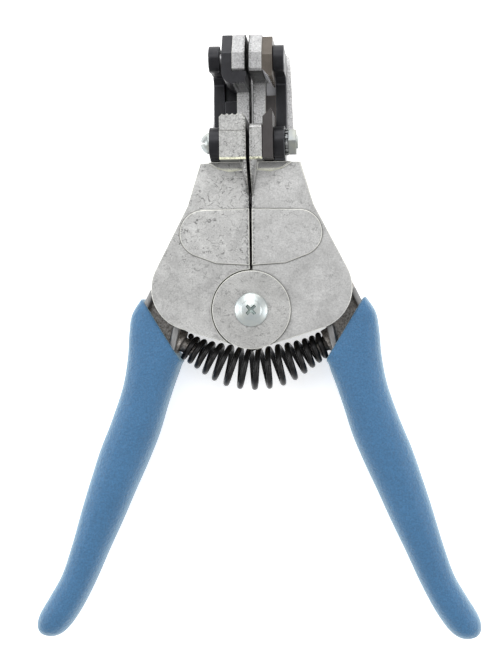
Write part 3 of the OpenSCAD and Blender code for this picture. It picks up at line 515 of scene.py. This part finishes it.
# Jaw arms
# The arms that slide in the frame are the same cast zinc, but greyer and with a heavier grain.
# The rear flange behind the spine is painted paler, a painted light, the step under the nose has a
# painted shadow, and painted shade darkens the slit between them.
zinc_arm = zinc("zinc_arm", (0.36, 0.36, 0.365), (0.46, 0.46, 0.46), lines=0.45,
                roughness=(0.45, 0.6), pepper=0.35, deep_light=2.0, slit_shade_reach=0.62)
for side in ("right", "left"):
    node = f"{side}_jaw_arm"
    dressed(struck(merged(node), f"{side}_arm_casting", width=0.3, segments=3), body_of(node),
            (zinc_arm, zinc_arm, corner_shade), [node])

# Blackened steel: side bars, gripper, clamps and left distance piece
# Stamped steel under black oxide, nearly matt and with a cold sheen, pinned or screwed to the
# arms and the frame. The edges are a lighter grey, partly rubbed by use and partly a painted
# highlight.
black = oxide("black_oxide", (0.013, 0.013, 0.016), (0.026, 0.026, 0.030), (0.28, 0.42))
black_worn_lit = oxide("black_oxide_lit_edge", (0.035, 0.036, 0.042), (0.075, 0.077, 0.085), (0.28, 0.4))
for node in ("upper_gripper", "left_side_bar", "right_side_bar", "left_clamp",
             "lower_blade_clamp", "left_jaw_spacer"):
    dressed(struck(merged(node), f"{node}_steel", width=0.28), body_of(node),
            (black, black_worn_lit, black), [node])

# Blades and right distance piece
# Hardened steel left brown from its heat treatment, with paler edges, partly rubbed and partly a
# painted highlight, and clamped in place. The cutting bevels are ground bright, and the distance
# piece's upper end is rubbed so.
RUBBED_END = 65.4
brown = oxide("brown_oxide", (0.064, 0.053, 0.043), (0.104, 0.089, 0.074), (0.30, 0.44))
dull_brown = oxide("dull_brown_oxide", (0.050, 0.045, 0.044), (0.074, 0.068, 0.068), (0.4, 0.55))
brown_worn_lit = oxide("brown_oxide_lit_edge", (0.10, 0.09, 0.08), (0.19, 0.175, 0.16), (0.3, 0.45))
ground = oxide("ground_steel", (0.78, 0.78, 0.82), (0.92, 0.92, 0.95), (0.45, 0.6),
               metallic=0.1)


def ground_faces(obj, chosen):
    """Gives the flats picked by chosen(centres, normals), with centres in millimetres, the
    ground finish as the piece's last material."""
    mesh = obj.data
    mesh.materials.append(ground)
    count = len(mesh.polygons)
    centres, normals = np.empty(count * 3), np.empty(count * 3)
    mesh.polygons.foreach_get("center", centres)
    mesh.polygons.foreach_get("normal", normals)
    picked = chosen(centres.reshape(-1, 3) / MM, normals.reshape(-1, 3))
    index = np.empty(count, np.int32)
    mesh.polygons.foreach_get("material_index", index)
    index[picked & (index == 0)] = len(mesh.materials) - 1
    mesh.polygons.foreach_set("material_index", index)
    mesh.update()


def bevel_ground(centres, normals):
    """The sloped faces that lead to a cutting edge."""
    return (np.abs(normals[:, 0]) > 0.3) & (np.abs(normals[:, 1]) > 0.3)


def top_ground(centres, normals):
    """The upper end of the distance piece, rubbed bright by the blade."""
    return centres[:, 1] > RUBBED_END


for node, material, rule in (("upper_blade", brown, bevel_ground),
                             ("lower_blade", dull_brown, bevel_ground),
                             ("right_jaw_spacer", dull_brown, top_ground)):
    piece = dressed(struck(merged(node), f"{node}_steel", width=0.12), body_of(node),
                    (material, brown_worn_lit, material), [node])
    ground_faces(piece, rule)

# Pins, bush, nuts and screws
# Turned steel and bronze, pressed or screwed in. The pivot screw has a wide low head with a
# crossed recess, and its plating is the brightest; the lock washer and the hex nut are duller.


def plated(name, dark, light, roughness=(0.3, 0.42)):
    """Zinc plate on steel: pale with a faint yellow and blue cast, and light handling marks."""
    material, tree, shader = new_material(name, Metallic=1.0)
    place = object_place(tree)
    cloud = speckle(tree, place, 330, 3, 0.5)
    tree.links.new(ramp(tree, cloud, [(0.3, dark), (0.7, light)]), shader.inputs["Base Color"])
    tree.links.new(ramp(tree, speckle(tree, place, 1500, 4), [(0.3, roughness[0]),
                                                              (0.7, roughness[1])]),
                   shader.inputs["Roughness"])
    bumped(tree, shader, [(speckle(tree, place, 1200, 3), 0.12, 0.01)])
    return material


zinc_plate = plated("zinc_plate", (0.40, 0.44, 0.45), (0.52, 0.53, 0.49))
nut_plate = plated("nut_plate", (0.30, 0.32, 0.34), (0.40, 0.41, 0.37), (0.42, 0.52))
dull_plate = plated("dull_zinc_plate", (0.16, 0.17, 0.18), (0.42, 0.43, 0.42))
pin_steel = plated("pin_steel", (0.38, 0.38, 0.40), (0.5, 0.5, 0.5))
bronze = plated("bush_bronze", (0.42, 0.30, 0.14), (0.55, 0.40, 0.20), (0.3, 0.45))


def skinned(name, rings):
    """Joins closed rings, all of one count, into a tube: points a and a + 1 of each ring meet
    points a and a + 1 of the next. Both ends close on a middle point."""
    rings = np.asarray(rings)
    n, m = rings.shape[:2]
    points = np.concatenate([rings.reshape(-1, 3), [rings[0].mean(0), rings[-1].mean(0)]])
    a = np.arange(m)
    b = (a + 1) % m
    foot, last = m * np.arange(n - 1)[:, None], m * (n - 1)
    walls = np.stack([foot + a, foot + b, foot + m + b, foot + m + a], -1).reshape(-1, 4)
    caps = np.concatenate([np.stack([np.full(m, n * m), b, a], 1),
                           np.stack([last + a, last + b, np.full(m, n * m + 1)], 1)])
    mesh = bpy.data.meshes.new(name)
    mesh.from_pydata(points.tolist(), [], walls.tolist() + caps.tolist())
    bm = bmesh.new()
    bm.from_mesh(mesh)
    bmesh.ops.recalc_face_normals(bm, faces=bm.faces)
    bm.to_mesh(mesh)
    bm.free()
    mesh.shade_smooth()
    obj = bpy.data.objects.new(name, mesh)
    scene.collection.objects.link(obj)
    return obj


def screw_head(name, radius, base, rise, cross):
    """A low dome on the Z axis on a polar grid. Its height over the radius r is a rim that rounds
    over, a shallow crown, and a faint ring; two crossed slots sink in it, where the distance to
    the nearer slot's outline, a box cross by its own width, turns into depth over a short edge."""
    fillet, wall, rim_rise, ring_rise = 0.35, 0.35, 0.3, 0.07
    half_slot, taper, lip, edge_run = 0.46, 0.05, 0.05, 0.16
    floor_depth, centre_depth = 0.95, 0.35
    level = radius - fillet
    radii = np.concatenate([np.arange(0.03, 2.4, 0.035), np.linspace(2.4, level, 22),
                            radius - fillet * (1 - np.sin(np.linspace(0.15, math.pi / 2, 8)))])
    angle = np.linspace(0, 2 * math.pi, 256, endpoint=False)
    r, a = np.meshgrid(radii, angle, indexing="ij")
    rim = np.sqrt(np.clip(1 - (np.clip(r - level, 0, fillet) / fillet) ** 2, 0, 1))
    crown = rise * (1 - (r / radius) ** 2)
    ring = ring_rise * np.clip((0.60 * radius - r) / 0.15 + 0.5, 0, 1)
    u, v = r * np.cos(a - math.pi / 4), r * np.sin(a - math.pi / 4)
    slots = [np.maximum(np.abs(p) - cross, np.abs(q) - half_slot + taper * np.abs(p))
             for p, q in ((u, v), (v, u))]
    edge = np.clip((lip - np.minimum(*slots)) / edge_run, 0, 1)
    depth = (edge * edge * (3 - 2 * edge)
             * (floor_depth + centre_depth * np.clip(1 - r / cross, 0, 1)))
    z = base + wall + rim_rise * rim + crown + ring - depth
    grid = np.stack([r * np.cos(a), r * np.sin(a), z], -1)
    foot = grid[-1].copy()
    foot[:, 2] = base
    head = skinned(name, np.concatenate([grid, foot[None]]) * MM)
    sunk = np.zeros(len(head.data.vertices), np.float32)
    sunk[:depth.size] = np.clip(depth, 0, 1).ravel()
    head.data.attributes.new("sunk", "FLOAT", "POINT").data.foreach_set("value", sunk)
    return head


screw_plate = plated("pivot_screw_plate", (0.55, 0.61, 0.63), (0.66, 0.69, 0.66))
tree = screw_plate.node_tree
shader = tree.nodes["Principled BSDF"]
plating = shader.inputs["Base Color"].links[0].from_socket
sunk = add(tree, "ShaderNodeAttribute", attribute_name="sunk").outputs["Fac"]
# Painted shade in the cross recess: its sloping walls darkest, its deepest parts less so
recess_shade = ramp(tree, sunk, [(0.0, 1.0), (0.25, (0.30, 0.36, 0.38)), (0.8, (0.48, 0.55, 0.55)),
                           (1.0, (0.62, 0.68, 0.66))])
tree.links.new(mixed(tree, 1.0, plating, recess_shade, "MULTIPLY"), shader.inputs["Base Color"])
HEAD_Z, SHANK_R = 23.0, 2.5
head = screw_head("pivot_screw_head", radius=5.05, base=HEAD_Z, rise=1.25, cross=1.75)
dressed(head, "right_frame", (screw_plate,))
a = np.linspace(0, 2 * math.pi, 48, endpoint=False)
shank = skinned("pivot_screw_shank", [
    np.stack([SHANK_R * np.cos(a), SHANK_R * np.sin(a), np.full_like(a, z)], 1) * MM
    for z in (0.0, 0.25, HEAD_Z + 0.05)])
dressed(shank, "right_frame", (zinc_plate,), ["pivot_screw"])

for node, slot, material in (
        ("left_clamp_screw", "zinc_plate", zinc_plate),
        ("clamp_stud", "zinc_plate", zinc_plate), ("clamp_nut", "zinc_plate", nut_plate),
        ("lock_washer", "zinc_plate", dull_plate), ("pivot_nut", "zinc_plate", zinc_plate),
        ("right_plate_screws", "zinc_plate", zinc_plate),
        ("left_plate_screws", "zinc_plate", zinc_plate),
        ("right_handle_pin", "pin_steel", pin_steel), ("left_handle_pin", "pin_steel", pin_steel),
        ("right_drive_pin", "pin_steel", pin_steel), ("left_drive_pin", "pin_steel", pin_steel),
        ("right_jaw_pin", "pin_steel", pin_steel), ("left_jaw_pin", "pin_steel", pin_steel),
        ("pivot_bush", "bush_bronze", bronze)):
    dressed(struck(merged(node), f"{node}_turned", width=0.12), body_of(node),
            (material,) * 3, [node])

# Handle castings
# Darker, rougher zinc castings that turn on pins in the two halves. The web is pitted and
# brown-grey, the ribs' front edges are smoother, and all corners are soft.


def cast_skin(bm, name, voxel, rounds, relief):
    """A casting's skin. The solid is resampled on a cubic grid; each point then moves half way to
    the mean of its neighbours, a number of rounds, so edges and inner corners turn soft; last it
    moves along its normal by relief(points), in metres."""
    obj = linked(name, bm)
    remesh = obj.modifiers.new("grid", "REMESH")
    remesh.mode = "VOXEL"
    remesh.voxel_size = voxel * MM
    remesh.use_smooth_shade = True
    mesh = baked(obj)
    count = len(mesh.vertices)
    points = np.empty(count * 3)
    mesh.vertices.foreach_get("co", points)
    points = points.reshape(-1, 3)
    ends = np.empty(len(mesh.edges) * 2, int)
    mesh.edges.foreach_get("vertices", ends)
    a, b = ends[0::2], ends[1::2]
    share = np.bincount(a, minlength=count) + np.bincount(b, minlength=count)
    for _ in range(rounds):
        mean = np.stack([np.bincount(a, points[b, k], count) + np.bincount(b, points[a, k], count)
                         for k in range(3)], 1) / share[:, None]
        points += 0.5 * (mean - points)
    mesh.vertices.foreach_set("co", points.ravel())
    mesh.update()
    normals = np.empty(count * 3)
    mesh.vertices.foreach_get("normal", normals)
    normals = normals.reshape(-1, 3)
    points += relief(points)[:, None] * normals
    mesh.vertices.foreach_set("co", points.ravel())
    mesh.update()
    return obj


def waves(points, cell, height):
    """Smooth noise of a cell size and height in millimetres at each point."""
    return np.array([noise.noise(p) for p in (points / (cell * MM)).tolist()]) * height * MM


HINGE_X, HINGE_Y, BORE_REACH, BORE_EASE = 6.8, 7.0, 2.3, 0.09


def cast_relief(points):
    """Shallow die waves, set a little in: one long swell and one short ripple. The reamed bore on
    the hinge pin has none, and is eased by what the softening takes from it."""
    die = waves(points, 7.0, 0.035) + waves(points + 0.1, 2.2, 0.016) - 0.02 * MM
    reach = np.hypot(np.abs(points[:, 0]) - HINGE_X * MM, points[:, 1] - HINGE_Y * MM)
    return np.where(reach < BORE_REACH * MM, -BORE_EASE * MM, die)


RIB_Z = 16.9
handle_metal, tree, shader = new_material("handle_casting", Metallic=0.8)
place = object_place(tree)
z = parts_of(tree, place)[2]
pits = speckle(tree, place, 1500, 4, 0.7)
cloud = speckle(tree, place, 300, 4, 0.6)
web = ramp(tree, pits, [(0.36, (0.18, 0.165, 0.15)), (0.5, (0.33, 0.307, 0.285)),
                        (0.66, (0.57, 0.54, 0.51))])
rib = ramp(tree, cloud, [(0.3, 0.27), (0.7, 0.37)])
base = mixed(tree, within(tree, z, RIB_Z * MM, 1, 0.6 * MM), web, rib)
# Painted shade in the inner corners; outer edges lighter, partly wear and partly a painted
# highlight
tree.links.new(shaded_and_worn(tree, base, corner=0.4, edge=1.1, reach=1.2), shader.inputs["Base Color"])
tree.links.new(ramp(tree, cloud, [(0.3, 0.4), (0.7, 0.6)]), shader.inputs["Roughness"])
bumped(tree, shader, [(cloud, 0.4, 0.15), (pits, 0.7, 0.12)])
for side in ("right", "left"):
    node = f"{side}_handle"
    casting = cast_skin(merged(node), f"{side}_handle_casting", voxel=0.4, rounds=2,
                        relief=cast_relief)
    dressed(casting, body_of(node), (handle_metal,), [node])

# Dipped grips
# Thick soft vinyl from a dip tank: smooth and full, with a fine orange peel all over and a pale
# sheen where it turns away. The mouth has a rolled lip round the handle's neck.
REACH, DROP, GRIP_T, MID_Z = 68.5, 100.9, 17.2, 11.0
ROW_STEPS, AROUND, ROLL_IN, LIP_RISE, MOUTH_DIP = 8, 96, 0.09, 0.7, 0.15
# One row is one section, from the mouth to the end: x and y of its inner edge and x and y of its
# outer edge, as shares of the reach and the drop; its share of the thickness; its squareness
GRIP_ROWS = np.array([
    [0.327, 0.160, 0.502, -0.035, 0.98, 4.6], [0.334, 0.170, 0.545, 0.012, 1.00, 4.0],
    [0.343, 0.190, 0.560, 0.075, 1.00, 3.4], [0.362, 0.225, 0.568, 0.140, 1.00, 3.0],
    [0.395, 0.292, 0.592, 0.228, 0.99, 2.7], [0.436, 0.382, 0.645, 0.333, 0.98, 2.6],
    [0.489, 0.469, 0.699, 0.423, 0.97, 2.5], [0.543, 0.549, 0.743, 0.512, 0.94, 2.5],
    [0.603, 0.641, 0.786, 0.604, 0.90, 2.5], [0.666, 0.732, 0.829, 0.704, 0.85, 2.5],
    [0.727, 0.824, 0.880, 0.805, 0.82, 2.5], [0.780, 0.895, 0.938, 0.875, 0.82, 2.5],
    [0.826, 0.946, 0.985, 0.928, 0.80, 2.4], [0.864, 0.978, 0.999, 0.962, 0.72, 2.3],
    [0.897, 0.994, 0.990, 0.985, 0.52, 2.2], [0.925, 1.000, 0.966, 0.997, 0.22, 2.0]])


def through(rows, steps):
    """Catmull-Rom curve through the rows, each span cut into a number of steps."""
    padded = np.pad(rows, ((1, 1), (0, 0)), "edge")
    a, b, c, d = (padded[k:k + len(rows) - 1, None] for k in range(4))
    t = (np.arange(steps) / steps)[:, None]
    spans = 0.5 * (2 * b + (c - a) * t + (2 * a - 5 * b + 4 * c - d) * t * t
                   + (3 * b - a - 3 * c + d) * t ** 3)
    return np.concatenate([spans.reshape(-1, rows.shape[1]), rows[-1:]])


def grip(side):
    """The grip's skin. Along it, a row gives the two edge points of a section, its thickness and
    its squareness; round it, a point at angle a lies at the power 2/squareness of cos a across
    and of sin a in depth. The mouth rolls in over a lip and closes flat on the handle's neck."""
    rows = through(GRIP_ROWS, ROW_STEPS)
    inner, outer = rows[:, :2] * (REACH, -DROP), rows[:, 2:4] * (REACH, -DROP)
    mid, half, e = (inner + outer) / 2, (outer - inner) / 2, 2 / rows[:, 5:]
    angle = np.linspace(0, 2 * math.pi, AROUND, endpoint=False)
    c, s = np.cos(angle), np.sin(angle)
    u, v = np.sign(c) * np.abs(c) ** e, np.sign(s) * np.abs(s) ** e
    skin = np.stack([mid[:, :1] + half[:, :1] * u, mid[:, 1:] + half[:, 1:] * u,
                     MID_Z + GRIP_T * rows[:, 4:5] / 2 * v], -1)
    first, centre = skin[0], skin[0].mean(0)
    axis = np.cross(first[0] - first[AROUND // 2], [0, 0, 1])
    axis /= np.linalg.norm(axis)
    if np.dot(axis, skin[ROW_STEPS].mean(0) - centre) > 0:
        axis = -axis
    turn = (np.linspace(0.0, 1.0, 6)[1:] * math.pi / 2)[:, None, None]
    lip = (centre + (first - centre) * (1 - ROLL_IN * (1 - np.cos(turn)))
           + axis * LIP_RISE * np.sin(turn))
    shares = np.array([0.93, 0.75, 0.4])[:, None, None]
    mouth = centre + (lip[-1] - centre) * shares - axis * MOUTH_DIP * (shares < 0.8)
    rings = np.concatenate([mouth[::-1], lip[::-1], skin]) * MM
    rings[:, :, 0] *= 1 if side == "right" else -1
    return skinned(f"{side}_dipped_grip", rings)


vinyl, tree, shader = new_material("blue_vinyl", Roughness=0.42)
place = object_place(tree)
cloud = speckle(tree, place, 70, 4, 0.55)
peel = speckle(tree, place, 1050, 3, 0.6)
blue = ramp(tree, cloud, [(0.3, (0.035, 0.139, 0.290)), (0.7, (0.042, 0.157, 0.322))])
grain = ramp(tree, speckle(tree, place, 1900, 2, 0.6), [(0.35, 0.83), (0.65, 1.17)])
tree.links.new(times(tree, blue, grain), shader.inputs["Base Color"])
shader.inputs["Coat Weight"].default_value = 0.05
shader.inputs["Sheen Weight"].default_value = 0.6
shader.inputs["Sheen Tint"].default_value = (0.72, 0.95, 1.0, 1.0)
shader.inputs["Sheen Roughness"].default_value = 0.5
bumped(tree, shader, [(cloud, 0.2, 0.3), (peel, 1.0, 0.38)])
for side in ("right", "left"):
    dressed(grip(side), f"{side}_handle", (vinyl,), [f"{side}_grip"])

# Springs
# Oil-black music wire. The handle spring swells from its seats on the two handles to a full
# middle and bows down; a small draw spring sits out of sight between the halves.


def tube(name, centres, outs, diameter, sides=12):
    """A round wire along a line of centres; outs are directions across it that set its twist."""
    centres, outs = np.asarray(centres), np.asarray(outs)
    along = np.gradient(centres, axis=0)
    along /= np.linalg.norm(along, axis=1)[:, None]
    side = np.cross(along, outs)
    side /= np.linalg.norm(side, axis=1)[:, None]
    up = np.cross(side, along)
    a = np.linspace(0, 2 * math.pi, sides, endpoint=False)
    rings = (centres[:, None] + diameter / 2 * (np.cos(a)[None, :, None] * up[:, None]
                                                + np.sin(a)[None, :, None] * side[:, None]))
    return skinned(name, rings)


SEAT_X, SEAT_Y, SAG = 0.3095 * REACH, 10.9, 7.3
TURNS, TURN_STEPS, CROWDING, WIRE, END_D, MIDDLE_D, SWELL = 15, 40, 0.33, 1.8, 6.6, 11.3, 0.7


def coil(t):
    """Centre line of the handle spring, t from 0 to 1. The axis is a cosine bow between the
    seats, u from -1 to 1; the coil's radius eases from end to middle; the turns crowd at both
    ends."""
    u = 2 * (t - CROWDING * np.sin(2 * math.pi * t) / (2 * math.pi)) - 1
    bow = np.stack([u * SEAT_X, -SEAT_Y - SAG * np.cos(u * math.pi / 2),
                    np.full_like(u, MID_Z)], 1)
    lean = np.stack([np.full_like(u, SEAT_X), SAG * np.sin(u * math.pi / 2) * math.pi / 2], 1)
    lean /= np.linalg.norm(lean, axis=1)[:, None]
    k = np.clip((1 - np.abs(u)) / SWELL, 0, 1)
    radius = (END_D + (MIDDLE_D - END_D) * k * k * (3 - 2 * k)) / 2
    a = 2 * math.pi * TURNS * t
    out = np.stack([-lean[:, 1] * np.cos(a), lean[:, 0] * np.cos(a), -np.sin(a)], 1)
    return (bow + radius[:, None] * out) * MM, out


spring_steel, tree, shader = new_material("spring_steel", Metallic=0.7)
place = object_place(tree)
cloud = speckle(tree, place, 700, 4, 0.6)
tree.links.new(ramp(tree, cloud, [(0.3, (0.012, 0.012, 0.013)), (0.75, (0.035, 0.034, 0.034))]),
               shader.inputs["Base Color"])
tree.links.new(ramp(tree, cloud, [(0.3, 0.24), (0.7, 0.4)]), shader.inputs["Roughness"])
bumped(tree, shader, [(speckle(tree, place, 5000, 3), 0.25, 0.01)])

# The wire is cut in three
t = np.linspace(0, 1, TURNS * TURN_STEPS + 1)
line, outs = coil(t)
cuts = [turn * TURN_STEPS for turn in (0, 6, 9, TURNS)]
for part, (a, b) in enumerate(zip(cuts, cuts[1:])):
    wire = tube(("handle_spring_left", "handle_spring_middle", "handle_spring_right")[part],
                line[a:b + 1], outs[a:b + 1], WIRE * MM)
    wire.data.materials.append(spring_steel)
    if part == 1:
        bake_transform(wire)
        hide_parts("handle_spring")
    elif part == 0:
        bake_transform(wire)
    else:
        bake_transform(wire)

DRAW_TURNS, DRAW_STEPS, DRAW_WIRE = 9, 32, 0.7
DRAW_HALF, DRAW_Y, DRAW_Z, DRAW_R = 6.1, 33.75, 16.4, 1.6
t = np.linspace(0, 1, DRAW_TURNS * DRAW_STEPS + 1)
a = 2 * math.pi * DRAW_TURNS * t
outs = np.stack([np.zeros_like(t), np.cos(a), np.sin(a)], 1)
line = np.stack([DRAW_HALF * (2 * t - 1), DRAW_Y + DRAW_R * np.cos(a),
                 DRAW_Z + DRAW_R * np.sin(a)], 1)
wire = tube("draw_spring_wire", line * MM, outs, DRAW_WIRE * MM, sides=10)
wire.data.materials.append(pin_steel)
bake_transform(wire)
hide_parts("halves_spring")
